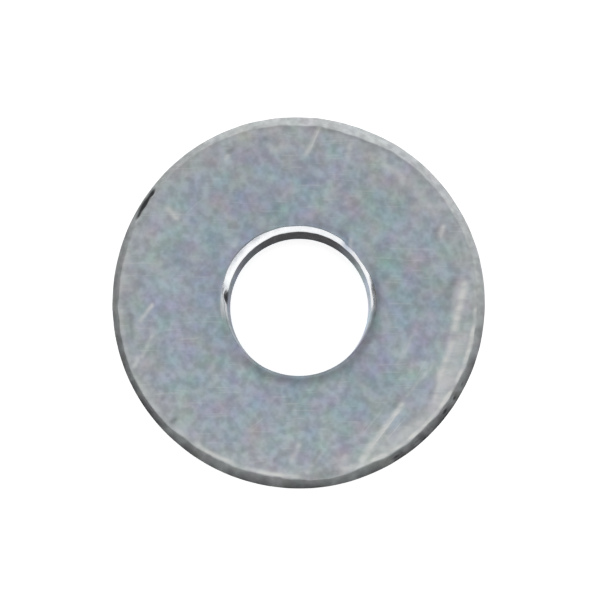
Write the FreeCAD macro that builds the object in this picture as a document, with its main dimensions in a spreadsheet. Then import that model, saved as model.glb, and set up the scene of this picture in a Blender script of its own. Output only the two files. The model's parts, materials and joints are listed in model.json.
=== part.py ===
import FreeCAD, Part
import math
import os

import Sketcher

# A plain flat washer, stamped from plate in one stroke of a compound die and zinc plated.
# It is one piece of steel, so the model is one body.
#
# Frame: the bore's axis is Z and the underside, the burr side of the stamping, lies on Z = 0.
# The upper face is the one that the die pulled down at both edges, the die-roll side.
# All sizes are in millimetres.

SIZES = {
    "outer_diameter": 44.45,
    "bore_diameter": 17.475,
    "thickness": 3.404,
    # The die roll: how far each upper edge is pulled in across the face, and down the wall.
    "outer_roll_width": 1.10,
    "outer_roll_depth": 0.50,
    "bore_roll_width": 0.50,
    "bore_roll_depth": 0.35,
    # The plated, tumbled edge of the underside.
    "edge_break": 0.12,
}

NODE = "flat_washer"
FULL_TURN = 360.0

# How a sketch constraint names the ends and the centre of a curve, and the sketch's own origin.
START, END, CENTRE = 1, 2, 3
ORIGIN = (-1, START)


def make_sheet(doc):
    """The spreadsheet that drives every size of the washer."""
    sheet = doc.addObject("Spreadsheet::Sheet", "sizes")
    for row, (alias, value) in enumerate(SIZES.items(), start=1):
        sheet.set(f"A{row}", alias.replace("_", " "))
        sheet.set(f"B{row}", str(value))
        sheet.setAlias(f"B{row}", alias)
    return sheet


def origin_feature(body, role):
    """One of the body's own origin planes or axes, such as XY_Plane or Z_Axis."""
    return next(item for item in body.Origin.OriginFeatures if item.Role == role)


def new_sketch(body, name, plane):
    sketch = body.newObject("Sketcher::SketchObject", name)
    sketch.AttachmentSupport = (origin_feature(body, plane), [""])
    sketch.MapMode = "FlatFace"
    return sketch


def bind(sketch, dimension, name, expression):
    """Add a named dimension to a sketch and drive it from the sheet."""
    sketch.renameConstraint(sketch.addConstraint(dimension), name)
    sketch.setExpression(f"Constraints.{name}", expression)


def circle_sketch(body, name, diameter):
    """A circle about the washer's axis, on the underside's plane."""
    sketch = new_sketch(body, name, "XY_Plane")
    circle = Part.Circle(FreeCAD.Vector(0, 0, 0), FreeCAD.Vector(0, 0, 1), SIZES[diameter] / 2)
    edge = sketch.addGeometry(circle, False)
    sketch.addConstraint(Sketcher.Constraint("Coincident", edge, CENTRE, *ORIGIN))
    bind(sketch, Sketcher.Constraint("Diameter", edge, SIZES[diameter]), "diameter", f"sizes.{diameter}")
    return sketch


def blank(body):
    """The round blank, cut from the plate."""
    pad = body.newObject("PartDesign::Pad", "blank")
    pad.Profile = circle_sketch(body, "blank_outline", "outer_diameter")
    pad.setExpression("Length", "sizes.thickness")


def pierce(body):
    """The bore, pierced through the blank upwards from the underside."""
    pocket = body.newObject("PartDesign::Pocket", "pierced_bore")
    pocket.Profile = circle_sketch(body, "bore_outline", "bore_diameter")
    pocket.Type = "ThroughAll"
    pocket.Reversed = True


def roll_arc(width, depth, wall, top, side):
    """The rolled surface in section, with its ends on the wall and on the face in the sketch's order.

    The arc is tangent to the upper face, so its centre is under its end on the face.
    """
    radius = (width ** 2 + depth ** 2) / (2 * depth)
    centre = FreeCAD.Vector(wall - side * width, top - radius, 0)
    circle = Part.Circle(centre, FreeCAD.Vector(0, 0, 1), radius)
    at_face = math.pi / 2
    at_wall = at_face - side * math.asin(width / radius)
    arc = Part.ArcOfCircle(circle, min(at_face, at_wall), max(at_face, at_wall))
    if side > 0:
        return arc, START, END
    return arc, END, START


def die_roll(body, edge, side):
    """Turn off the corner that the die rolled down at one upper edge.

    edge is outer or bore. side is +1 where the wall faces outwards and -1 where it faces the axis.
    """
    width = SIZES[f"{edge}_roll_width"]
    depth = SIZES[f"{edge}_roll_depth"]
    top = SIZES["thickness"]
    wall = SIZES[f"{edge}_diameter"] / 2
    on_face = FreeCAD.Vector(wall - side * width, top, 0)
    corner = FreeCAD.Vector(wall, top, 0)
    on_wall = FreeCAD.Vector(wall, top - depth, 0)
    rolled, wall_end, face_end = roll_arc(width, depth, wall, top, side)

    sketch = new_sketch(body, f"{edge}_roll_section", "XZ_Plane")
    face_line = sketch.addGeometry(Part.LineSegment(on_face, corner), False)
    wall_line = sketch.addGeometry(Part.LineSegment(corner, on_wall), False)
    arc = sketch.addGeometry(rolled, False)
    sketch.addConstraint(Sketcher.Constraint("Coincident", face_line, END, wall_line, START))
    sketch.addConstraint(Sketcher.Constraint("Coincident", wall_line, END, arc, wall_end))
    sketch.addConstraint(Sketcher.Constraint("Tangent", face_line, START, arc, face_end))
    sketch.addConstraint(Sketcher.Constraint("Horizontal", face_line))
    sketch.addConstraint(Sketcher.Constraint("Vertical", wall_line))
    dimensions = {
        "wall": (("DistanceX", *ORIGIN, face_line, END, wall), f"sizes.{edge}_diameter / 2"),
        "top": (("DistanceY", *ORIGIN, face_line, END, top), "sizes.thickness"),
        "width": (("Distance", face_line, width), f"sizes.{edge}_roll_width"),
        "depth": (("Distance", wall_line, depth), f"sizes.{edge}_roll_depth"),
    }
    for name, (dimension, expression) in dimensions.items():
        bind(sketch, Sketcher.Constraint(*dimension), name, expression)

    groove = body.newObject("PartDesign::Groove", f"{edge}_die_roll")
    groove.Profile = sketch
    groove.ReferenceAxis = (origin_feature(body, "Z_Axis"), [""])
    groove.Angle = FULL_TURN


def underside_edges(shape):
    """Names of the two round edges where the walls meet the underside."""
    return [
        f"Edge{number}"
        for number, edge in enumerate(shape.Edges, start=1)
        if isinstance(edge.Curve, Part.Circle) and abs(edge.BoundBox.ZMax) < Part.Precision.confusion()
    ]


def break_edges(doc, body):
    """The small chamfer on both edges of the underside."""
    doc.recompute()
    base = body.Tip
    chamfer = body.newObject("PartDesign::Chamfer", "underside_edge_break")
    chamfer.Base = (base, underside_edges(base.Shape))
    chamfer.setExpression("Size", "sizes.edge_break")


def make_washer(doc):
    body = doc.addObject("PartDesign::Body", NODE)
    body.Label = NODE
    body.Placement = FreeCAD.Placement()
    blank(body)
    pierce(body)
    die_roll(body, "outer", side=1)
    die_roll(body, "bore", side=-1)
    break_edges(doc, body)
    return body


def check(doc, body):
    """Stop if anything in the document failed to build."""
    failed = [item.Name for item in doc.Objects if {"Invalid", "Error"} & set(item.State)]
    if failed:
        raise RuntimeError(f"failed objects: {failed}")
    if body.Shape.isNull() or not body.Shape.isValid():
        raise RuntimeError(f"{body.Label} has no valid shape")
    if len(body.Shape.Solids) != 1:
        raise RuntimeError(f"{body.Label} is {len(body.Shape.Solids)} solids, not one")

    # Every feature after the blank takes steel away.
    features = [item for item in body.Group if item.isDerivedFrom("PartDesign::Feature")]
    for before, after in zip(features, features[1:]):
        if after.Shape.Volume >= before.Shape.Volume:
            raise RuntimeError(f"{after.Name} cuts nothing")


def main():
    doc = FreeCAD.newDocument("washer")
    make_sheet(doc)
    doc.recompute()
    washer = make_washer(doc)
    doc.recompute()
    check(doc, washer)
    os.makedirs("parts", exist_ok=True)
    washer.Shape.exportStep(f"parts/{washer.Label}.step")
    print(f"{washer.Label}: {washer.Shape.Volume:.1f} mm3")


main()
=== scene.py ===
import json
import math

import bpy
import numpy as np
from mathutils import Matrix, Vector, noise


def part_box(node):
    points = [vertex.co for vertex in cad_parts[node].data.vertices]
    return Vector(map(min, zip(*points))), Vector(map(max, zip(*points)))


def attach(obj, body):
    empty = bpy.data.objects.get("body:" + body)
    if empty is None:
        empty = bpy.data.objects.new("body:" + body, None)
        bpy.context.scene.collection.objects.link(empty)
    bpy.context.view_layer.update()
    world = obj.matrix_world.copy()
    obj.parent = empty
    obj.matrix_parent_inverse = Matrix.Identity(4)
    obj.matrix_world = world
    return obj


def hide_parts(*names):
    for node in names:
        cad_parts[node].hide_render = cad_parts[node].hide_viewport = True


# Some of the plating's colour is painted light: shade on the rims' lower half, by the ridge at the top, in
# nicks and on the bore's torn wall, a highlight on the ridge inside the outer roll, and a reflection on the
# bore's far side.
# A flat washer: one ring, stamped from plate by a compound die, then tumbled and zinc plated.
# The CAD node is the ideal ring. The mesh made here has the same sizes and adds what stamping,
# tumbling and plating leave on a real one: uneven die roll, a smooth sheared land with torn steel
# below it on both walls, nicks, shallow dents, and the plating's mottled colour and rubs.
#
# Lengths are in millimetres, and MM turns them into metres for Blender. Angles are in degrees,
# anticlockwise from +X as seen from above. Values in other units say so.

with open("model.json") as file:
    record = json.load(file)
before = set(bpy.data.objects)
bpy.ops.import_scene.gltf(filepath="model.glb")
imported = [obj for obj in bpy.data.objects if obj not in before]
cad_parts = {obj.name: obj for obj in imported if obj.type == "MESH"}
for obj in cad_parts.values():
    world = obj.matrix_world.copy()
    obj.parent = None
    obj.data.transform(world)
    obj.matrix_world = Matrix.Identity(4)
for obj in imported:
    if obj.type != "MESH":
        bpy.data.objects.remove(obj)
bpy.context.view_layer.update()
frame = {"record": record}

NODE = "flat_washer"
BODY = "root"
MM = 0.001


def mount(name):
    return next(item for item in frame["record"]["mounts"] if item["name"] == name)


RING_LOW, RING_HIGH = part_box(NODE)
OUTER_RADIUS = (RING_HIGH.x - RING_LOW.x) / 2 / MM
BORE_RADIUS = mount("bore")["dims"]["r_mm"]
THICKNESS = (RING_HIGH.z - RING_LOW.z) / MM


# ---------------------------------------------------------------- shape: how each edge varies round the ring

# Die roll: (angle, size), as its width across the face and its depth down the wall. The die pulled
# the edges down unevenly. The bore's far side is bell-mouthed: its roll is narrow, steep and deep. The
# outer roll's depth is OUTER_ROLL_SLOPE times its width. A roll is a quarter ellipse where STRAIGHT is
# 0, and it nears a plain bevel as STRAIGHT nears 1.
OUTER_ROLL_WIDTHS = (
    (0, 1.1), (30, 1.2), (50, 1.3), (70, 1.55), (90, 1.4), (110, 1.08), (135, 0.95), (163, 1.0), (180, 0.9),
    (212, 0.82), (232, 1.2), (250, 1.35), (264, 1.36), (278, 1.08), (292, 1.24), (310, 1.14), (340, 1.08),
)
OUTER_ROLL_SLOPE = 0.45
OUTER_ROLL_STRAIGHT = 0.88
BORE_ROLL_WIDTHS = (
    (0, 0.50), (8, 0.49), (18, 0.32), (27, 0.10), (36, 0.03), (46, 0.09), (50, 0.13), (57, 0.27), (78, 0.31),
    (92, 0.28), (108, 0.38), (125, 0.54), (150, 0.63), (165, 0.55), (180, 0.56), (215, 0.75), (270, 0.95),
    (325, 0.90), (345, 0.55),
)
BORE_ROLL_DEPTHS = (
    (0, 0.7), (20, 0.6), (36, 0.2), (50, 0.3), (57, 0.85), (105, 0.92), (125, 1.12), (158, 1.24), (172, 0.85),
    (185, 0.5), (215, 0.4),
)
BORE_ROLL_STRAIGHT = ((0, 0.8), (50, 0.7), (57, 0.85), (165, 0.85), (190, 0.1), (330, 0.1))

# The smooth sheared land reaches this far below the upper face, and the bore's is at least LEAST_LAND
# high. The steel is torn from there down: it steps back from the land and is rough, and the outer wall
# tapers in.
OUTER_LAND_END = 1.7
BORE_LAND_ENDS = ((0, 1.2), (50, 1.15), (60, 1.05), (108, 1.05), (125, 1.28), (160, 1.3), (180, 1.2))
LEAST_LAND = 0.03
OUTER_TEAR_STEP = 0.035
BORE_TEAR_STEP = 0.012
OUTER_TEAR_ROUGHNESS = 0.035
BORE_TEAR_ROUGHNESS = 0.012
OUTER_TEAR_TAPER = 0.07
OUTER_EDGE_BREAK = 0.12
BORE_EDGE_BREAK = 0.05

# How much the sizes above vary round the ring: (seed, first and last waves per turn, typical size).
OUTER_ROLL_RIPPLE = (11, 9, 60, 0.035)
BORE_ROLL_RIPPLE = (12, 7, 30, 0.012)
OUTER_DROP_RIPPLE = (13, 2, 12, 0.02)
BORE_DROP_RIPPLE = (14, 2, 12, 0.015)
OUTER_LAND_RIPPLE = (15, 2, 110, 0.06)
BORE_LAND_RIPPLE = (16, 2, 60, 0.03)

# Fine unevenness of each surface: (typical size, size of its features, seed). LAND_SQUEEZE draws the
# land's features out into lines that run down the wall. The torn steel's sizes are shares of 1.
# GRAIN_OFFSET, times the seed, keeps one noise apart from another.
FACE_WAVES = ((0.012, 7.0, 5), (0.003, 1.4, 6))
UNDERSIDE_WAVES = ((0.006, 5.0, 7),)
LAND_LINES = ((0.004, 0.3, 8),)
LAND_SQUEEZE = (1, 1, 0.08)
TEAR_GRAINS = ((0.6, 0.55, 3), (0.4, 0.22, 4))
GRAIN_OFFSET = (17.3, 5.1, 3.7)

# Mesh density: steps round the ring, and steps along each stretch of the section. The steps across the
# face are crowded towards its edges.
STEPS_ROUND = 720
STEPS = {
    "face": 50,
    "outer_roll": 14,
    "outer_land": 8,
    "outer_tear": 10,
    "outer_break": 3,
    "underside": 14,
    "bore_break": 3,
    "bore_tear": 14,
    "bore_land": 6,
    "bore_roll": 8,
}
FACE_CROWD = 0.7

ANGLES = np.linspace(0, 360, STEPS_ROUND, endpoint=False)


def round_the_ring(points):
    """A smooth closed curve through (angle, value) pairs, read at every angle of the mesh."""
    angles = np.array([point[0] for point in points], float)
    values = np.array([point[1] for point in points], float)
    angles = np.append(angles, angles[0] + 360)
    values = np.append(values, values[0])
    place = np.clip(np.searchsorted(angles, ANGLES, side="right") - 1, 0, len(angles) - 2)
    share = (ANGLES - angles[place]) / (angles[place + 1] - angles[place])
    ease = share * share * (3 - 2 * share)
    return values[place] + (values[place + 1] - values[place]) * ease


def ripple(seed, first, last, size):
    """Random waves round the ring, from first to last waves per turn, with the given typical size."""
    chance = np.random.default_rng(seed)
    waves = np.arange(first, last + 1)
    heights = chance.normal(size=len(waves)) / np.sqrt(waves / first)
    phases = chance.uniform(0, 2 * np.pi, len(waves))
    total = (heights[:, None] * np.cos(waves[:, None] * np.radians(ANGLES) + phases[:, None])).sum(0)
    return total * size / total.std()


def grain(places, size, seed):
    """Smooth noise from about -1 to 1 at every place, with features of the given size."""
    offset = Vector([part * seed for part in GRAIN_OFFSET])
    flat = places.reshape(-1, 3) / size
    values = [noise.noise(Vector(place) + offset) for place in flat]
    return np.array(values).reshape(places.shape[:-1])


def unevenness(places, waves):
    """The sum of several grains, each from about 0 to twice its typical size."""
    return sum(size * (1 + grain(places, reach, seed)) for size, reach, seed in waves)


def stretch(count, start, end, crowd=0.0):
    """Radii or heights from start to end, without the end, one row per angle.

    The steps are even where crowd is 0, and finer towards both ends as it nears 1.
    """
    share = np.linspace(0, 1, count, endpoint=False)
    share = (1 - crowd) * share + crowd * (1 - np.cos(np.pi * share)) / 2
    start, end = np.broadcast_to(start, ANGLES.shape), np.broadcast_to(end, ANGLES.shape)
    return start[:, None] + (end - start)[:, None] * share


def rounded(count, wall, width, face, depth, straight, to_wall):
    """The corner between a flat face and a wall, as radii and heights from the one to the other.

    width and depth are signed: how far the corner is cut back from the wall, and from the face. It is
    a quarter ellipse where straight is 0, and nears a plain bevel as straight nears 1.
    """
    turn = np.radians(np.linspace(0, 90, count, endpoint=False))
    share = np.sin(turn) if to_wall else np.cos(turn)
    sizes = (width, depth, straight)
    width, depth, straight = (np.broadcast_to(size, ANGLES.shape)[:, None] for size in sizes)
    fall = straight * share + (1 - straight) * (1 - np.sqrt(np.clip(1 - share ** 2, 0, 1)))
    return wall - width * (1 - share), face - depth * fall


def section():
    """Radius and height of every mesh point, as two grids of angle by place along the section."""
    outer_roll = round_the_ring(OUTER_ROLL_WIDTHS) + ripple(*OUTER_ROLL_RIPPLE)
    bore_roll = round_the_ring(BORE_ROLL_WIDTHS) + ripple(*BORE_ROLL_RIPPLE)
    outer_drop = OUTER_ROLL_SLOPE * outer_roll + ripple(*OUTER_DROP_RIPPLE)
    bore_drop = round_the_ring(BORE_ROLL_DEPTHS) + ripple(*BORE_DROP_RIPPLE)
    outer_straight, bore_straight = OUTER_ROLL_STRAIGHT, round_the_ring(BORE_ROLL_STRAIGHT)
    outer_land_end = THICKNESS - OUTER_LAND_END + ripple(*OUTER_LAND_RIPPLE)
    bore_land_end = THICKNESS - round_the_ring(BORE_LAND_ENDS) + ripple(*BORE_LAND_RIPPLE)
    bore_land_end = np.minimum(bore_land_end, THICKNESS - bore_drop - LEAST_LAND)

    def wall(name, radius, start, end):
        heights = stretch(STEPS[name], start, end)
        return np.full_like(heights, radius), heights

    def flat(name, height, start, end, crowd):
        radii = stretch(STEPS[name], start, end, crowd)
        return radii, np.full_like(radii, height)

    def corner(name, *sizes, to_wall):
        return rounded(STEPS[name], *sizes, to_wall)

    inner, outer = BORE_RADIUS, OUTER_RADIUS
    top = THICKNESS
    under, over = BORE_EDGE_BREAK, OUTER_EDGE_BREAK
    parts = {
        "face": flat("face", top, inner + bore_roll, outer - outer_roll, FACE_CROWD),
        "outer_roll": corner("outer_roll", outer, outer_roll, top, outer_drop, outer_straight, to_wall=True),
        "outer_land": wall("outer_land", outer, top - outer_drop, outer_land_end),
        "outer_tear": wall("outer_tear", outer, outer_land_end, over),
        "outer_break": corner("outer_break", outer, over, 0, -over, 0, to_wall=False),
        "underside": flat("underside", 0, outer - over, inner + under, 0),
        "bore_break": corner("bore_break", inner, -under, 0, -under, 0, to_wall=True),
        "bore_tear": wall("bore_tear", inner, under, bore_land_end),
        "bore_land": wall("bore_land", inner, bore_land_end, top - bore_drop),
        "bore_roll": corner("bore_roll", inner, -bore_roll, top, bore_drop, bore_straight, to_wall=False),
    }
    radii = np.concatenate([parts[name][0] for name in STEPS], axis=1)
    heights = np.concatenate([parts[name][1] for name in STEPS], axis=1)
    return radii, heights


def columns(*names):
    """Which places along the section belong to the named stretches, as a row of 0 and 1."""
    return np.concatenate([np.full(count, float(name in names)) for name, count in STEPS.items()])


def ramp(name, power=1.0):
    """0 outside the named stretch, and inside it rising from 0 at its first place to 1 at its last."""
    rows = {key: np.zeros(count) for key, count in STEPS.items()}
    rows[name] = np.linspace(0, 1, STEPS[name]) ** power
    return np.concatenate(list(rows.values()))


# ---------------------------------------------------------------- shape: wear and damage

# Nicks in the upper edges, and a pit in the bore's wall: (angle, radius, how far below the upper face,
# half-length round the ring, half-width, half-height, depth). A nick lowers the upper side by NICK_DROP
# of its depth and cuts sideways into the edge. The pit only cuts sideways.
NICKS = (
    (143.4, OUTER_RADIUS - 0.5, 0, 0.50, 0.28, 1.0, 0.13),
    (147.6, OUTER_RADIUS - 0.5, 0, 1.15, 0.30, 1.0, 0.18),
    (151.8, OUTER_RADIUS - 0.6, 0, 0.55, 0.22, 1.0, 0.08),
    (203.5, OUTER_RADIUS - 0.35, 0, 0.50, 0.22, 1.2, 0.05),
    (213.5, OUTER_RADIUS - 0.4, 0, 1.50, 0.20, 1.2, 0.05),
    (302.4, OUTER_RADIUS - 0.45, 0, 0.75, 0.30, 1.2, 0.10),
    (310.6, OUTER_RADIUS - 0.45, 0, 0.80, 0.26, 1.2, 0.07),
    (316.2, OUTER_RADIUS - 0.4, 0, 0.40, 0.22, 1.2, 0.04),
    (323.3, OUTER_RADIUS - 0.5, 0, 0.75, 0.30, 1.2, 0.11),
    (328.5, OUTER_RADIUS - 0.45, 0, 0.50, 0.28, 1.2, 0.10),
    (333.5, OUTER_RADIUS - 0.45, 0, 0.55, 0.26, 1.2, 0.07),
    (104.5, OUTER_RADIUS - 1.1, 0, 0.40, 0.25, 1.2, 0.03),
    (52.0, BORE_RADIUS + 0.65, 0, 0.30, 0.18, 1.2, 0.04),
)
BORE_PITS = ((174.6, BORE_RADIUS, 1.15, 0.55, 0.50, 0.65, 0.40),)

NICK_DROP = 0.8

# Shallow dents from tumbling, on both faces. DENT_SHARPNESS is how steeply each fades from its centre,
# and the last two are the random seeds of each face's dents.
DENT_COUNT = 90
DENT_RADII = (0.35, 1.3)
DENT_DEPTHS = (0.006, 0.026)
DENT_SHARPNESS = 2.0
UPPER_DENTS, UNDERSIDE_DENTS = 21, 22


def position(radii, heights):
    turn = np.radians(ANGLES)[:, None]
    return np.stack([radii * np.cos(turn), radii * np.sin(turn), heights], axis=-1)


def tear(radii, heights):
    """Torn steel: the wall below the land steps back and is rough, and the outer wall tapers in."""
    places = position(radii, heights)
    rough = sum(share * grain(places, size, seed) for share, size, seed in TEAR_GRAINS)
    down = 1 - heights / (THICKNESS - OUTER_LAND_END)
    outer = OUTER_TEAR_STEP + OUTER_TEAR_ROUGHNESS * rough + OUTER_TEAR_TAPER * np.clip(down, 0, 1)
    bore = np.clip(BORE_TEAR_STEP + BORE_TEAR_ROUGHNESS * rough, 0, None)
    return radii - columns("outer_tear") * outer + columns("bore_tear") * bore


def round_and_out(places, angle, radius):
    """How far every place is from a point, seen from above: round the ring, and outwards."""
    turn = math.radians(angle)
    outward = np.array([math.cos(turn), math.sin(turn)])
    side = np.array([-outward[1], outward[0]])
    gap = places[..., :2] - radius * outward
    return gap @ side, gap @ outward


def nick_depth(places, nicks):
    """How deep the given nicks cut at every place."""
    depth = np.zeros(places.shape[:-1])
    for angle, radius, place_down, length, width, height, deep in nicks:
        around, out = round_and_out(places, angle, radius)
        below = (THICKNESS - place_down - places[..., 2]) / height
        depth += deep * np.exp(-((around / length) ** 2) - (out / width) ** 2 - below ** 4)
    return depth


def dent_depth(places, seed):
    """How deep the dents are at every place."""
    chance = np.random.default_rng(seed)
    depth = np.zeros(places.shape[:-1])
    for _ in range(DENT_COUNT):
        turn = chance.uniform(0, 2 * np.pi)
        radius = math.sqrt(chance.uniform(BORE_RADIUS ** 2, OUTER_RADIUS ** 2))
        size = chance.uniform(*DENT_RADII)
        deep = chance.uniform(*DENT_DEPTHS) * min(1.0, size)
        centre = np.array([radius * math.cos(turn), radius * math.sin(turn)])
        gap = np.linalg.norm(places[..., :2] - centre, axis=-1) / size
        depth += deep * np.exp(-(gap ** 2) * DENT_SHARPNESS)
    return depth


def worn_ring():
    """Every mesh point of the ring with its tears, nicks, dents and waviness, in millimetres."""
    radii, heights = section()
    radii = tear(radii, heights)
    places = position(radii, heights)

    upper = columns("face", "outer_roll") + ramp("bore_roll")
    outer_edge = columns("outer_roll", "outer_land")
    bore_edge = columns("bore_roll", "bore_land")
    bore_wall = columns("bore_roll", "bore_land", "bore_tear")
    under = columns("underside")

    nicks = nick_depth(places, NICKS)
    pits = nick_depth(places, BORE_PITS)
    upper_dents, underside_dents = dent_depth(places, UPPER_DENTS), dent_depth(places, UNDERSIDE_DENTS)
    heights = heights - upper * (unevenness(places, FACE_WAVES) + upper_dents + NICK_DROP * nicks)
    heights = heights + under * (unevenness(places, UNDERSIDE_WAVES) + underside_dents)
    worn = nicks + unevenness(places * LAND_SQUEEZE, LAND_LINES)
    radii = radii - outer_edge * worn + bore_edge * worn + bore_wall * pits
    return position(np.minimum(radii, OUTER_RADIUS), np.clip(heights, 0, THICKNESS))


# ---------------------------------------------------------------- what the material reads from the mesh

# Streaks on the upper face: (start, end, half-width, strength). The plating is rubbed bright along the
# first ones, many of them where something dragged over the lower right, and soiled along the others.
RUBBED_STREAKS = (
    ((19.6, 1.9), (18.4, -3.2), 0.55, 0.95),
    ((18.2, -4.8), (16.8, -8.6), 0.50, 0.9),
    ((16.8, -8.6), (16.1, -11.7), 0.45, 0.7),
    ((19.0, -4.6), (16.6, -12.0), 1.2, 0.55),
    ((16.2, -12.6), (9.6, -18.5), 0.9, 0.5),
    ((14.6, -15.2), (9.0, -18.9), 0.4, 0.65),
    ((12.2, -12.2), (9.1, -16.3), 0.34, 1.0),
    ((9.1, -16.3), (7.5, -18.8), 0.46, 0.8),
    ((10.6, -16.2), (8.8, -18.8), 0.7, 0.4),
    ((9.0, -18.8), (5.2, -19.9), 0.45, 0.7),
    ((13.3, -4.2), (11.7, -7.6), 0.25, 0.35),
    ((16.2, -7.1), (12.8, -11.1), 0.24, 0.4),
    ((0.9, 17.4), (2.5, 20.7), 0.32, 0.60),
    ((5.8, 17.2), (6.1, 18.6), 0.35, 0.42),
    ((10.2, 16.2), (12.3, 14.6), 0.48, 0.5),
    ((12.9, 14.2), (16.0, 10.4), 0.6, 0.3),
    ((16.8, 7.8), (17.1, 8.8), 0.30, 0.75),
    ((-15.4, 11.0), (-14.5, 9.9), 0.34, 0.75),
    ((-18.7, -2.2), (-17.3, -0.4), 0.26, 0.75),
    ((-18.5, -6.6), (-17.4, -4.1), 0.24, 0.45),
    ((-19.5, -7.7), (-19.0, -6.8), 0.3, 0.6),
    ((-0.9, 13.2), (-0.9, 14.0), 0.45, 0.4),
    ((-8.6, 16.9), (-8.3, 17.3), 0.25, 0.6),
    ((-7.6, 6.6), (-7.4, 7.2), 0.3, 0.4),
    ((-3.2, 17.9), (-2.0, 18.2), 0.4, 0.3),
    ((0.1, -16.9), (-0.9, -18.8), 0.3, 0.42),
    ((2.7, -17.8), (1.0, -20.2), 0.25, 0.38),
    ((5.5, -18.4), (5.0, -19.4), 0.4, 0.35),
    ((6.1, 6.35), (6.15, 7.3), 0.26, 0.6),
)
SOILED_STREAKS = (
    ((-19.3, 9.5), (-18.7, 9.1), 0.30, 0.3),
    ((-15.0, -14.2), (-14.6, -13.9), 0.32, 0.45),
    ((-16.1, -11.5), (-15.9, -11.3), 0.3, 0.35),
    ((18.3, 2.6), (17.5, 0.3), 0.5, 0.24),
    ((-19.9, -1.6), (-19.6, -4.0), 0.3, 0.25),
    ((-8.3, 17.7), (-7.6, 18.1), 0.3, 0.25),
    ((-4.5, 18.9), (-3.9, 19.2), 0.3, 0.25),
    ((-2.8, -18.6), (-1.6, -18.1), 0.3, 0.28),
    ((-6.6, -17.6), (-5.6, -17.2), 0.3, 0.22),
    ((2.5, -17.6), (1.8, -19.0), 0.28, 0.32),
    ((1.8, -20.6), (4.9, -20.1), 0.5, 0.26),
    ((16.3, -9.6), (15.4, -11.4), 0.3, 0.18),
    ((11.9, -11.3), (11.3, -12.3), 0.3, 0.18),
    ((8.4, 15.2), (8.9, 15.6), 0.3, 0.2),
    ((16.4, 7.6), (16.1, 8.3), 0.3, 0.22),
)

# The ridge where the face meets the outer roll: how bright it is, rubbed and with a painted highlight, and
# how dark it is with painted shade: (angle, strength). A rub past 1 is lowered by its share below, and is
# held to 1 in the end. Each line lies its own inset further in than the edge of the roll, and fades over
# RIDGE_REACH on either side.
RIDGE_RUB_AND_HIGHLIGHT = (
    (0, 0.45), (14, 0.1), (30, 0.0), (150, 0.05), (165, 0.25), (225, 0.3), (238, 0.7), (256, 0.9), (268, 0.9),
    (273, 0.0), (283, 0.0), (287, 1.2), (300, 1.5), (312, 1.5), (335, 1.4), (350, 1.2),
)
RIDGE_SHADE = ((0, 0.0), (40, 0.0), (55, 0.16), (75, 0.22), (100, 0.08), (125, 0.0))
RIDGE_REACH = 0.28
RUB_AND_HIGHLIGHT_INSET = 0.25
RIDGE_SHADE_INSET = 0.15

# How much the ridge's rub and painted highlight, and the outer roll's grime and painted shade, vary round
# the ring: (seed, first and last waves per turn, typical share). The ridge's share averages the next value
# and is held within the range after it.
RIDGE_RUB_AND_HIGHLIGHT_RIPPLE = (31, 10, 70, 0.3)
RIDGE_RUB_AND_HIGHLIGHT_MEAN = 0.8
RIDGE_RUB_AND_HIGHLIGHT_RANGE = (0.2, 1.3)
GRIME_AND_SHADE_RIPPLE = (32, 12, 90, 0.22)

# A nick or a pit this deep is painted fully dark, as shade in its hollow, and a shallower one partly.
NICK_SHADE_DEPTH = 0.10

# A flatter segment of the face, cut off by this line, has been dragged over: start, end, strength. It
# has DRAGGED_AT_LINE of its strength on the line, and DRAGGED_FADE is the width over which it would rise
# from nothing to all of it.
DRAGGED = ((6.2, -19.8), (18.6, -0.9), 0.12)
DRAGGED_AT_LINE = 0.4
DRAGGED_FADE = 0.8

# Near the rim the plating turns from bluish to plain grey. It starts this far in and is done after the
# given width, and it is GREY_FACE of the way there on the face and GREY_RIM on the outer roll and land.
GREY_START = 4
GREY_WIDTH = 3
GREY_FACE = 0.55
GREY_RIM = 0.75

# How dark the outer wall's torn steel looks, and how polished its land is. Both are from 0 to 1.
OUTER_TEAR_DARKNESS = 0.6
OUTER_POLISH = 0.35

# How polished the bore's land and roll are, partly real burnish and partly a painted reflection, bright on
# the far side only; how dark its torn wall looks, partly rough steel and partly painted shade; and how dull
# and dark the rolled edges are, partly grime and partly painted shade, strongest from about 180 to 340
# degrees: (angle, 0 to 1).
BORE_POLISH_AND_REFLECTION = (
    (0, 1.0), (25, 1.0), (40, 0.75), (49, 0.3), (57, 0.9), (90, 0.9), (125, 1.0), (160, 1.0), (170, 0.75),
    (185, 0.7), (196, 0.0), (350, 0.1),
)
BORE_TEAR_DARKNESS = (
    (0, 0.0), (14, 0.2), (28, 0.45), (45, 0.8), (60, 1.0), (115, 1.0), (140, 0.85), (160, 0.6), (185, 0.55),
    (200, 0.5), (225, 0.5), (340, 0.0),
)
BORE_GRIME_AND_SHADE = (
    (0, 0.25), (10, 0.05), (40, 0.0), (165, 0.0), (182, 0.5), (198, 0.5), (230, 0.6), (300, 0.7), (335, 0.75),
    (350, 0.4),
)
OUTER_GRIME_AND_SHADE = (
    (0, 0.2), (15, 0.14), (30, 0.2), (45, 0.1), (65, 0.0), (115, 0.0), (132, 0.12), (160, 0.35), (190, 0.36),
    (207, 0.82), (220, 0.82), (228, 0.56), (250, 0.54), (266, 0.76), (278, 0.64), (286, 0.45), (298, 0.65),
    (302, 1.0), (306, 0.75), (311, 1.0), (317, 0.7), (323, 1.0), (326, 0.7), (329, 1.0), (338, 0.6),
    (344, 0.5), (350, 0.55), (357, 0.2),
)

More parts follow.
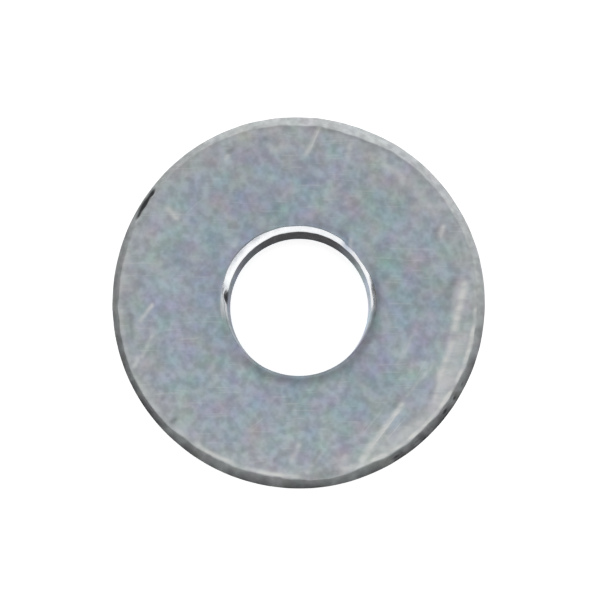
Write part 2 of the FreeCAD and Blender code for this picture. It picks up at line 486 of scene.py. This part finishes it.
# A dark ring on the face round the bore, partly soil and partly painted shade, strongest from about 230
# degrees round to 10: at each angle, how far out, how wide, and how strong.
BORE_RING_PLACE = (
    (0, 0.55), (20, 0.62), (50, 0.7), (60, 0.75), (80, 0.8), (130, 0.9), (185, 0.85), (205, 0.6), (230, 0.5),
    (330, 0.55), (350, 0.5),
)
BORE_RING_REACH = ((0, 0.4), (200, 0.4), (230, 0.75), (330, 0.75), (350, 0.5))
BORE_RING_SOIL_AND_SHADE = (
    (0, 0.42), (10, 0.38), (25, 0.2), (40, 0.04), (50, 0.12), (58, 0.3), (70, 0.22), (85, 0.12), (115, 0.1),
    (140, 0.0), (165, 0.05), (182, 0.24), (190, 0.12), (215, 0.12), (230, 0.36), (300, 0.42), (338, 0.42),
    (350, 0.32),
)


def streak_amount(places, streaks):
    """How strongly the streaks mark every place. Each fades at its sides and its ends."""
    amount = np.zeros(places.shape[:-1])
    for start, end, half_width, strength in streaks:
        start, run = np.array(start), np.array(end) - np.array(start)
        gap = places[..., :2] - start
        along = np.clip(gap @ run / (run @ run), 0, 1)
        away = np.linalg.norm(gap - along[..., None] * run, axis=-1)
        amount = np.maximum(amount, strength * np.exp(-((away / half_width) ** 2)))
    return amount * columns("face")


def dragged_amount(places):
    """How far the flatter segment of the face has been rubbed."""
    start, end, strength = np.array(DRAGGED[0]), np.array(DRAGGED[1]), DRAGGED[2]
    along = (end - start) / np.linalg.norm(end - start)
    beyond = (places[..., :2] - start) @ np.array([along[1], -along[0]])
    return strength * np.clip(DRAGGED_AT_LINE + beyond / DRAGGED_FADE, 0, 1) * columns("face")


def line_round(places, radius, reach):
    """A soft line round the ring's upper side, at a radius given for every angle."""
    away = (np.hypot(places[..., 0], places[..., 1]) - radius[:, None]) / reach
    return np.exp(-(away ** 2)) * columns("face", "bore_roll")


def rubbed_and_highlight_amount(places):
    """How far the plating is rubbed bright at every place, and where the ridge inside the outer roll has a
    painted highlight.
    """
    ridge = OUTER_RADIUS - round_the_ring(OUTER_ROLL_WIDTHS) - RUB_AND_HIGHLIGHT_INSET
    speckle = np.clip(RIDGE_RUB_AND_HIGHLIGHT_MEAN + ripple(*RIDGE_RUB_AND_HIGHLIGHT_RIPPLE), *RIDGE_RUB_AND_HIGHLIGHT_RANGE)
    line = (round_the_ring(RIDGE_RUB_AND_HIGHLIGHT) * speckle)[:, None] * line_round(places, ridge, RIDGE_REACH)
    marks = [streak_amount(places, RUBBED_STREAKS), dragged_amount(places), line]
    return np.minimum(np.maximum.reduce(marks), 1)


def grime_and_shade_amount(places):
    """How dull and dark every place is, as grime and as painted shade: rolled edges, the rings beside them,
    soiled streaks, and nicks, shaded by their depth.
    """
    outer = np.clip(round_the_ring(OUTER_GRIME_AND_SHADE) * (1 + ripple(*GRIME_AND_SHADE_RIPPLE)), 0, 1)[:, None]
    bore = round_the_ring(BORE_GRIME_AND_SHADE)[:, None]
    ridge = OUTER_RADIUS - round_the_ring(OUTER_ROLL_WIDTHS) - RIDGE_SHADE_INSET
    bore_ring = BORE_RADIUS + round_the_ring(BORE_RING_PLACE)
    bore_reach = round_the_ring(BORE_RING_REACH)[:, None]
    return np.maximum.reduce([
        outer * (ramp("outer_roll", 0.5) + columns("outer_land")),
        bore * ((1 - ramp("bore_roll")) * columns("bore_roll") + columns("bore_land")),
        round_the_ring(RIDGE_SHADE)[:, None] * line_round(places, ridge, RIDGE_REACH),
        round_the_ring(BORE_RING_SOIL_AND_SHADE)[:, None] * line_round(places, bore_ring, bore_reach),
        streak_amount(places, SOILED_STREAKS),
        np.clip(nick_depth(places, NICKS + BORE_PITS) / NICK_SHADE_DEPTH, 0, 1),
    ])


def rolled_amount(places):
    """Where the plating is plain grey rather than bluish: the outer roll and land, and near them."""
    radius = np.hypot(places[..., 0], places[..., 1])
    near_rim = np.clip((radius - OUTER_RADIUS + GREY_START) / GREY_WIDTH, 0, 1)
    return GREY_FACE * near_rim * columns("face") + GREY_RIM * columns("outer_roll", "outer_land")


def surface_marks(places):
    """The mesh attributes that the material reads, each from 0 to 1 at every mesh point."""
    polish = round_the_ring(BORE_POLISH_AND_REFLECTION)[:, None]
    darkness = round_the_ring(BORE_TEAR_DARKNESS)[:, None]
    return {
        "torn": darkness * columns("bore_tear") + OUTER_TEAR_DARKNESS * columns("outer_tear"),
        "land": polish * columns("bore_land", "bore_roll") + OUTER_POLISH * columns("outer_land"),
        "rubbed": rubbed_and_highlight_amount(places),
        "rolled": rolled_amount(places),
        "grime": grime_and_shade_amount(places),
    }


def make_ring(material):
    places = worn_ring()
    round_count, section_count = places.shape[:2]
    index = np.arange(round_count * section_count).reshape(round_count, section_count)
    beside = np.roll(index, -1, axis=0)
    faces = np.stack([index, beside, np.roll(beside, -1, axis=1), np.roll(index, -1, axis=1)], axis=-1)

    mesh = bpy.data.meshes.new("stamped_ring")
    mesh.from_pydata((places.reshape(-1, 3) * MM).tolist(), [], faces.reshape(-1, 4).tolist())
    mesh.polygons.foreach_set("use_smooth", [True] * len(mesh.polygons))
    for name, values in surface_marks(places).items():
        mark = mesh.attributes.new(name, "FLOAT", "POINT")
        mark.data.foreach_set("value", np.ascontiguousarray(values, dtype=np.float32).ravel())
    mesh.materials.append(material)
    mesh.validate()

    ring = bpy.data.objects.new("stamped_ring", mesh)
    bpy.context.scene.collection.objects.link(ring)
    return ring


# ---------------------------------------------------------------- material: bluish zinc plate


def add(tree, kind, sockets=None, **settings):
    """A shader node. Each entry of sockets is a constant, or the output that feeds that input."""
    made = tree.nodes.new(kind)
    for name, value in settings.items():
        setattr(made, name, value)
    for key, value in (sockets or {}).items():
        if isinstance(value, bpy.types.NodeSocket):
            tree.links.new(value, made.inputs[key])
        else:
            made.inputs[key].default_value = value
    return made


def calc(tree, operation, first, second=0.0):
    return add(tree, "ShaderNodeMath", {0: first, 1: second}, operation=operation).outputs[0]


def lerp(tree, amount, first, second):
    """first turned towards second by amount. Both are numbers."""
    return add(tree, "ShaderNodeMix", {0: amount, 2: first, 3: second}, data_type="FLOAT").outputs[0]


def spread(tree, value, low, high, to_low=0.0, to_high=1.0):
    """value from low..high eased onto to_low..to_high and held there beyond."""
    sockets = {"Value": value, "From Min": low, "From Max": high, "To Min": to_low, "To Max": to_high}
    return add(tree, "ShaderNodeMapRange", sockets, interpolation_type="SMOOTHSTEP").outputs["Result"]


def blend(tree, amount, first, second, mode="MIX"):
    """first turned towards second by amount. Both are colours."""
    sockets = {0: amount, 6: first, 7: second}
    return add(tree, "ShaderNodeMix", sockets, data_type="RGBA", blend_type=mode).outputs[2]


NOISE_ROUGHNESS = 0.55


def mottle(tree, place, size, detail=2.0, output="Fac"):
    """Noise with features of the given size in millimetres."""
    sockets = {"Vector": place, "Scale": 1 / (size * MM), "Detail": detail, "Roughness": NOISE_ROUGHNESS}
    return add(tree, "ShaderNodeTexNoise", sockets).outputs[output]


def drawn_out(tree, place, turn, squeeze):
    """place squeezed along X and then turned, so that noise on it is drawn out into lines along X.

    The turn comes after the squeeze. It picks another part of the noise, and the lines run as before.
    """
    sockets = {"Vector": place, "Rotation": (0, 0, -math.radians(turn)), "Scale": (squeeze, 1.0, 1.0)}
    return add(tree, "ShaderNodeMapping", sockets).outputs["Vector"]


def dot(tree, first, second):
    return add(tree, "ShaderNodeVectorMath", {0: first, 1: second}, operation="DOT_PRODUCT").outputs["Value"]


def attribute(tree, name):
    return add(tree, "ShaderNodeAttribute", attribute_name=name).outputs["Fac"]


# Single scratches: (start, end, half-width, strength). Each is at full strength over the given share of
# its half-length and half-width, and fades from there. They are placed as seen from above, so each one
# also marks the underside at the same place.
SCRATCH_FULL_LENGTH = 0.3
SCRATCH_FULL_WIDTH = 0.15
SCRATCHES = (
    ((8.2, -17.8), (12.4, -12.2), 0.12, 0.6),
    ((9.6, -17.2), (12.9, -13.4), 0.08, 0.35),
    ((6.9, -16.4), (10.1, -12.6), 0.07, 0.25),
    ((1.2, 17.6), (2.6, 20.8), 0.13, 0.4),
    ((13.4, -9.8), (15.6, -5.9), 0.08, 0.25),
    ((-14.2, 9.6), (-11.0, 12.5), 0.08, 0.2),
    ((-6.5, -15.5), (-3.4, -13.2), 0.07, 0.2),
)


def scratch(tree, place, start, end, half_width, strength):
    """The mark of one straight scratch, fading at its sides and its ends."""
    start, end = Vector((*start, 0)) * MM, Vector((*end, 0)) * MM
    run = end - start
    along = run.normalized()
    across = Vector((-along.y, along.x, 0))
    gap = add(tree, "ShaderNodeVectorMath", {0: place, 1: (start + end) / 2}, operation="SUBTRACT").outputs[0]
    lengthwise = (along, SCRATCH_FULL_LENGTH, run.length / 2)
    crosswise = (across, SCRATCH_FULL_WIDTH, half_width * MM)
    parts = []
    for direction, full, outer in (lengthwise, crosswise):
        away = calc(tree, "ABSOLUTE", dot(tree, gap, direction))
        parts.append(spread(tree, away, full * outer, outer, 1.0, 0.0))
    return calc(tree, "MULTIPLY", calc(tree, "MULTIPLY", *parts), strength)


# Faint hairlines: (turn of the noise, width, level of the noise that they start at), with the squeeze
# that draws them out, how sharply they start and how strong they are. They all run along X.
HAIRLINES = ((48, 0.30, 0.66), (62, 0.22, 0.69), (-20, 0.26, 0.71))
HAIRLINE_SQUEEZE = 0.07
HAIRLINE_RISE = 0.06
HAIRLINE_STRENGTH = 0.15


def fine_scratches(tree, place):
    """A sparse field of faint hairlines along X."""
    total = 0.0
    for turn, width, sparse in HAIRLINES:
        lines = mottle(tree, drawn_out(tree, place, turn, HAIRLINE_SQUEEZE), width, 1.0)
        lines = spread(tree, lines, sparse, sparse + HAIRLINE_RISE)
        total = calc(tree, "MAXIMUM", total, lines)
    return calc(tree, "MULTIPLY", total, HAIRLINE_STRENGTH)


ZINC_INNER = (0.432, 0.505, 0.580, 1)
ZINC_OUTER = (0.490, 0.543, 0.590, 1)
ZINC_ROLLED = (0.525, 0.540, 0.535, 1)
# The rubbed colour is also the painted highlight on the ridge inside the outer roll.
ZINC_RUBBED_AND_HIGHLIGHT = (0.870, 0.880, 0.860, 1)
# The polished colour is partly burnish and partly a painted reflection, on the bore's far side.
ZINC_POLISHED_AND_REFLECTION = (0.860, 0.870, 0.880, 1)
# Torn steel is dark as rough steel and as painted shade, on the bore's torn wall most of all.
TORN_STEEL_AND_SHADE = (0.070, 0.070, 0.076, 1)
# Grime is dark as dirt and as painted shade: on the rims' lower half, by the ridge at the top, and in nicks.
GRIME_AND_SHADE = (0.060, 0.062, 0.066, 1)

# The plating's mottle: feature size and detail of the noise, then for the tint how strong it is, and for
# the others the noise's range and the range that it is spread over, of tone or of roughness.
TINT = (2.7, 1.6, 0.46)
CLOUD = (6.0, 2.0, 0.30, 0.70, 0.96, 1.04)
FINE_TONE = (1.0, 1.7, 0.25, 0.75, 0.84, 1.14)
PLATE_ROUGHNESS = (0.9, 3.0, 0.30, 0.70, 0.38, 0.48)
RUB_AND_HIGHLIGHT_SMOOTHER = 0.08
LAND_SMOOTHER = 0.22
TORN_ROUGHER = 0.22

# Relief: feature size, detail and height of the fine grain and of the torn steel's, how deep the
# scratches are beside them, how much of the relief is shown, and what a height of 1 is in millimetres.
FINE_RELIEF = (0.28, 3.0, 0.35)
TORN_RELIEF = (0.5, 4.0, 2.0)
SCRATCH_RELIEF = 0.5
RELIEF_STRENGTH = 0.5
RELIEF_HEIGHT = 0.02

# Rubbing, and the ridge's painted highlight with it, is broken up into short lines along X: turn and squeeze
# of the noise, its feature size, detail and range, and the least that is left of the rub and highlight.
RUB_AND_HIGHLIGHT_BREAKS = (57, 0.2, 0.8, 4.0, 0.35, 0.65)
RUB_AND_HIGHLIGHT_LEAST = 0.6

# Noise in the plating is turned off the ring's axes, so that its grid doesn't show. In radians.
LOOSE_TURN = (0.61, 0.43, 0.83)


def ranged_mottle(tree, place, size, detail, *ranges):
    """Noise with its range spread over another."""
    return spread(tree, mottle(tree, place, size, detail), *ranges)


def zinc_colour(tree, place, loose, wear_and_painted_light, marks):
    radius = add(tree, "ShaderNodeVectorMath", {0: place}, operation="LENGTH").outputs["Value"]
    outward = spread(tree, radius, BORE_RADIUS * MM, OUTER_RADIUS * MM)
    colour = blend(tree, outward, ZINC_INNER, ZINC_OUTER)

    size, detail, strength = TINT
    tint = mottle(tree, loose, size, detail, output="Color")
    colour = blend(tree, strength, colour, tint, "SOFT_LIGHT")
    colour = blend(tree, wear_and_painted_light["rolled"], colour, ZINC_ROLLED)
    tone = calc(tree, "MULTIPLY", ranged_mottle(tree, loose, *CLOUD), ranged_mottle(tree, loose, *FINE_TONE))
    tone = add(tree, "ShaderNodeCombineColor", {0: tone, 1: tone, 2: tone}).outputs[0]
    colour = blend(tree, 1.0, colour, tone, "MULTIPLY")

    # Rubs get a painted highlight on the ridge, polish a painted reflection, and grime and torn steel painted
    # shade.
    colour = blend(tree, wear_and_painted_light["rubbed"], colour, ZINC_RUBBED_AND_HIGHLIGHT)
    colour = blend(tree, marks, colour, ZINC_RUBBED_AND_HIGHLIGHT)
    colour = blend(tree, wear_and_painted_light["land"], colour, ZINC_POLISHED_AND_REFLECTION)
    colour = blend(tree, wear_and_painted_light["grime"], colour, GRIME_AND_SHADE)
    return blend(tree, wear_and_painted_light["torn"], colour, TORN_STEEL_AND_SHADE)


def zinc_roughness(tree, loose, wear_and_painted_light):
    rough = ranged_mottle(tree, loose, *PLATE_ROUGHNESS)
    rough = calc(tree, "SUBTRACT", rough, calc(tree, "MULTIPLY", wear_and_painted_light["rubbed"], RUB_AND_HIGHLIGHT_SMOOTHER))
    rough = calc(tree, "SUBTRACT", rough, calc(tree, "MULTIPLY", wear_and_painted_light["land"], LAND_SMOOTHER))
    return calc(tree, "ADD", rough, calc(tree, "MULTIPLY", wear_and_painted_light["torn"], TORN_ROUGHER))


def zinc_relief(tree, loose, torn, marks):
    """Bump: the plating's fine grain, deeper on torn steel, and the scratches."""
    size, detail, fine_height = FINE_RELIEF
    fine = calc(tree, "MULTIPLY", mottle(tree, loose, size, detail), fine_height)
    size, detail, torn_height = TORN_RELIEF
    coarse = calc(tree, "MULTIPLY", mottle(tree, loose, size, detail), torn)
    height = calc(tree, "ADD", fine, calc(tree, "MULTIPLY", coarse, torn_height))
    height = calc(tree, "SUBTRACT", height, calc(tree, "MULTIPLY", marks, SCRATCH_RELIEF))
    sockets = {"Height": height, "Strength": RELIEF_STRENGTH, "Distance": RELIEF_HEIGHT * MM}
    return add(tree, "ShaderNodeBump", sockets).outputs["Normal"]


def broken_rub_and_highlight(tree, place, rubbed):
    """The rubs and the ridge's painted highlight, broken up into short lines along X."""
    turn, squeeze, size, detail, low, high = RUB_AND_HIGHLIGHT_BREAKS
    broken = ranged_mottle(tree, drawn_out(tree, place, turn, squeeze), size, detail, low, high)
    left = calc(tree, "ADD", calc(tree, "MULTIPLY", broken, 1 - RUB_AND_HIGHLIGHT_LEAST), RUB_AND_HIGHLIGHT_LEAST)
    return calc(tree, "MULTIPLY", rubbed, left)


def zinc_plate():
    """The plating. place is the ring's own frame, and loose is the same turned off its axes for noise."""
    material = bpy.data.materials.new("zinc_plate")
    material.use_nodes = True
    tree = material.node_tree
    shader = tree.nodes["Principled BSDF"]
    place = add(tree, "ShaderNodeTexCoord").outputs["Object"]
    loose = add(tree, "ShaderNodeMapping", {"Vector": place, "Rotation": LOOSE_TURN}).outputs["Vector"]

    wear_and_painted_light = {name: attribute(tree, name) for name in ("torn", "land", "rubbed", "rolled", "grime")}
    wear_and_painted_light["rubbed"] = broken_rub_and_highlight(tree, place, wear_and_painted_light["rubbed"])
    marks = fine_scratches(tree, place)
    for start, end, half_width, strength in SCRATCHES:
        marks = calc(tree, "MAXIMUM", marks, scratch(tree, place, start, end, half_width, strength))

    shader.inputs["Metallic"].default_value = 1.0
    tree.links.new(zinc_colour(tree, place, loose, wear_and_painted_light, marks), shader.inputs["Base Color"])
    tree.links.new(zinc_roughness(tree, loose, wear_and_painted_light), shader.inputs["Roughness"])
    tree.links.new(zinc_relief(tree, loose, wear_and_painted_light["torn"], marks), shader.inputs["Normal"])
    return material


# ---------------------------------------------------------------- stage: floor, light and camera

# The floor glows a little, so that it stays plain white under the dome. The radius and the gap under the
# washer are in metres.
FLOOR_RADIUS = 3.0
FLOOR_SIDES = 96
FLOOR_GAP = 0.00002
FLOOR_COLOUR = (0.9, 0.9, 0.9, 1)
FLOOR_ROUGHNESS = 0.7
FLOOR_GLOW = 0.65
WHITE = (1, 1, 1, 1)


def make_floor():
    material = bpy.data.materials.new("floor_white")
    material.use_nodes = True
    shader = material.node_tree.nodes["Principled BSDF"]
    shader.inputs["Base Color"].default_value = FLOOR_COLOUR
    shader.inputs["Roughness"].default_value = FLOOR_ROUGHNESS
    shader.inputs["Emission Color"].default_value = WHITE
    shader.inputs["Emission Strength"].default_value = FLOOR_GLOW

    bpy.ops.mesh.primitive_circle_add(vertices=FLOOR_SIDES, radius=FLOOR_RADIUS, fill_type="NGON")
    floor = bpy.context.object
    floor.name = "floor"
    floor.location.z = RING_LOW.z - FLOOR_GAP
    floor.data.materials.append(material)


# The studio dome: how bright it is overhead, low on the dark side and low on the bright side, and how
# much of its light overhead is lost towards the bright side, which is at this angle. Low down it turns
# from dark to bright over DOME_SIDES, as the cosine of the angle from the bright side. It turns from the
# low light to the light overhead over DOME_HEIGHTS, as the sine of the height. What the camera sees of it
# is plain white.
BRIGHT_SIDE = 71
DOME_TOP = 0.72
DOME_TOP_FALL = 0.22
DOME_DARK = 0.16
DOME_BRIGHT = 1.06
DOME_SIDES = (-0.35, 1.05)
DOME_HEIGHTS = (0.50, 0.70)
BACKDROP = 1.0


def make_dome():
    """A soft studio dome as the world: low down, bright behind the washer and dim in front of it."""
    world = bpy.data.worlds.new("studio_dome")
    bpy.context.scene.world = world
    world.use_nodes = True
    tree = world.node_tree
    tree.nodes.clear()
    direction = add(tree, "ShaderNodeTexCoord").outputs["Generated"]
    turn = math.radians(BRIGHT_SIDE)
    towards = Vector((math.cos(turn), math.sin(turn), 0))
    sideways = dot(tree, direction, towards)
    height = add(tree, "ShaderNodeSeparateXYZ", {"Vector": direction}).outputs["Z"]
    low = spread(tree, sideways, *DOME_SIDES, DOME_DARK, DOME_BRIGHT)
    top = calc(tree, "SUBTRACT", DOME_TOP, calc(tree, "MULTIPLY", sideways, DOME_TOP_FALL))
    level = lerp(tree, spread(tree, height, *DOME_HEIGHTS), low, top)
    seen = add(tree, "ShaderNodeLightPath").outputs["Is Camera Ray"]
    level = lerp(tree, seen, level, BACKDROP)
    shader = add(tree, "ShaderNodeBackground", {"Color": WHITE, "Strength": level})
    output = add(tree, "ShaderNodeOutputWorld")
    tree.links.new(shader.outputs[0], output.inputs["Surface"])


# A close camera that looks straight down, off the ring's axis, so that the far side of the bore's wall
# is in view. EYE_HEIGHT is above the upper face. It isn't known from the photograph, where a thinner
# ring seen from nearer would look the same: it suits the thickness chosen for the ring. LENS and SENSOR
# are the camera's own. RING_PLACE is where the centre of the upper face falls, in picture widths from
# the picture's middle.
EYE_HEIGHT = 46.0
EYE_OFFSET = (0.9, -10.9)
LENS = 23.64
SENSOR = 36.0
RING_PLACE = (0.0037, -0.0087)
CLIP_METRES = (0.001, 10.0)


def make_camera():
    """The camera over the ring, shifted to frame it while it looks straight down."""
    data = bpy.data.cameras.new("camera")
    data.lens = LENS
    data.sensor_width = SENSOR
    scale = LENS / (EYE_HEIGHT * SENSOR)
    data.shift_x = -EYE_OFFSET[0] * scale - RING_PLACE[0]
    data.shift_y = -EYE_OFFSET[1] * scale - RING_PLACE[1]
    data.clip_start, data.clip_end = CLIP_METRES
    camera = bpy.data.objects.new("camera", data)
    camera.location = Vector((*EYE_OFFSET, THICKNESS + EYE_HEIGHT)) * MM
    bpy.context.scene.collection.objects.link(camera)
    bpy.context.scene.camera = camera


def make_washer():
    ring = make_ring(zinc_plate())
    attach(ring, BODY)
    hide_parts(NODE)


bpy.context.scene.view_settings.view_transform = "Standard"
make_floor()
make_dome()
make_camera()
make_washer()
